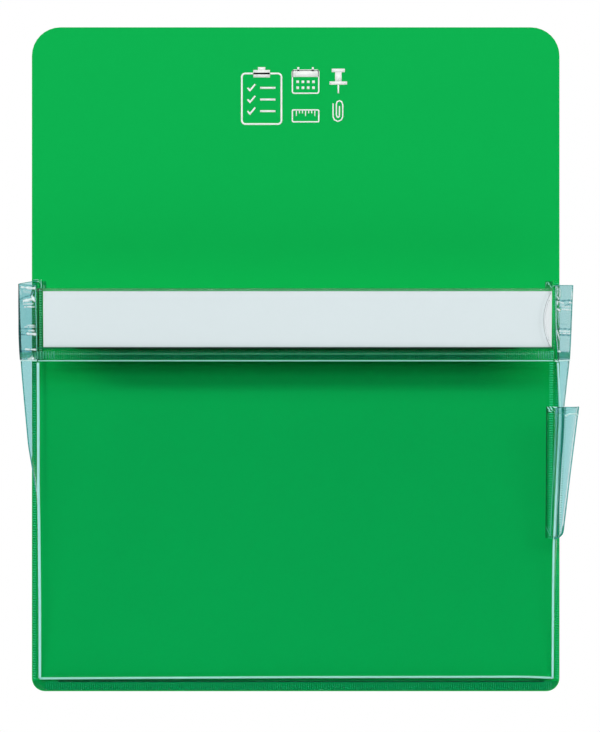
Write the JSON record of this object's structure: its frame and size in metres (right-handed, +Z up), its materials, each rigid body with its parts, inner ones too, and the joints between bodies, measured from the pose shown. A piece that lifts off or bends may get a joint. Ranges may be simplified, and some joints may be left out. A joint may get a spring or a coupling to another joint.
{
  "type": "magnetic document pocket",
  "caption": "Flexible magnet sheet faced in green vinyl with a clear gusseted document pocket, a label sleeve along its mouth and a pen pocket at the side.",
  "frame": {"origin": "centre of the magnet sheet's back face", "axes": "+Z up the sheet, +X to the right seen from the front, +Y out of the back towards the steel surface that it holds on to"},
  "size_m": [0.2542, 0.035, 0.302],
  "materials": {
    "magnet": "matte dark brown flexible magnet",
    "green_vinyl": "satin green vinyl sheet, lightly grained",
    "clear_film": "clear glossy vinyl film with a faint blue-green tint",
    "card": "uncoated white paper card"
  },
  "bodies": {
    "backing": {"magnet_sheet": "magnet", "facing_sheet": "green_vinyl", "left_side_seam": "clear_film", "right_side_seam": "clear_film", "bottom_seam": "clear_film"},
    "front": {"front_film": "clear_film", "left_corner_seam": "clear_film", "right_corner_seam": "clear_film", "label_cover": "clear_film", "pen_pocket_back": "clear_film", "pen_pocket_front": "clear_film"},
    "label": {"label_card": "card"},
    "left_back_panel": {"left_back_wing": "clear_film", "left_back_hem": "clear_film"},
    "left_front_panel": {"left_front_wing": "clear_film", "left_front_hem": "clear_film"},
    "right_back_panel": {"right_back_wing": "clear_film", "right_back_hem": "clear_film"},
    "right_front_panel": {"right_front_wing": "clear_film", "right_front_hem": "clear_film"}
  },
  "joints": [
    {"name": "front_open", "type": "hinge", "parent": "backing", "child": "front", "pos_m": [0, -0.0026, -0.146], "axis": [1, 0, 0], "range_deg": [-8.14, 0]},
    {"name": "label_slide", "type": "slide", "parent": "front", "child": "label", "axis": [1, 0, 0], "range_m": [0, 0.23]},
    {"name": "left_seam_fold", "type": "hinge", "parent": "backing", "child": "left_back_panel", "pos_m": [-0.117, -0.0026, -0.146], "axis": [0, 0, 1], "range_deg": [-59.1, 0]},
    {"name": "left_centre_fold", "type": "hinge", "parent": "left_back_panel", "child": "left_front_panel", "pos_m": [-0.11678, -0.00273, -0.146], "axis": [0.0486, 0.0831, -0.9954], "range_deg": [-118.4, 0]},
    {"name": "right_seam_fold", "type": "hinge", "parent": "backing", "child": "right_back_panel", "pos_m": [0.117, -0.0026, -0.146], "axis": [0, 0, -1], "range_deg": [-59.1, 0]},
    {"name": "right_centre_fold", "type": "hinge", "parent": "right_back_panel", "child": "right_front_panel", "pos_m": [0.11678, -0.00273, -0.146], "axis": [0.0486, -0.0831, 0.9954], "range_deg": [-118.4, 0]}
  ],
  "couplings": [
    {"joint": "left_seam_fold", "follows": "front_open", "ratio": 7.23},
    {"joint": "left_centre_fold", "follows": "front_open", "ratio": 14.49},
    {"joint": "right_seam_fold", "follows": "front_open", "ratio": 7.23},
    {"joint": "right_centre_fold", "follows": "front_open", "ratio": 14.49}
  ]
}
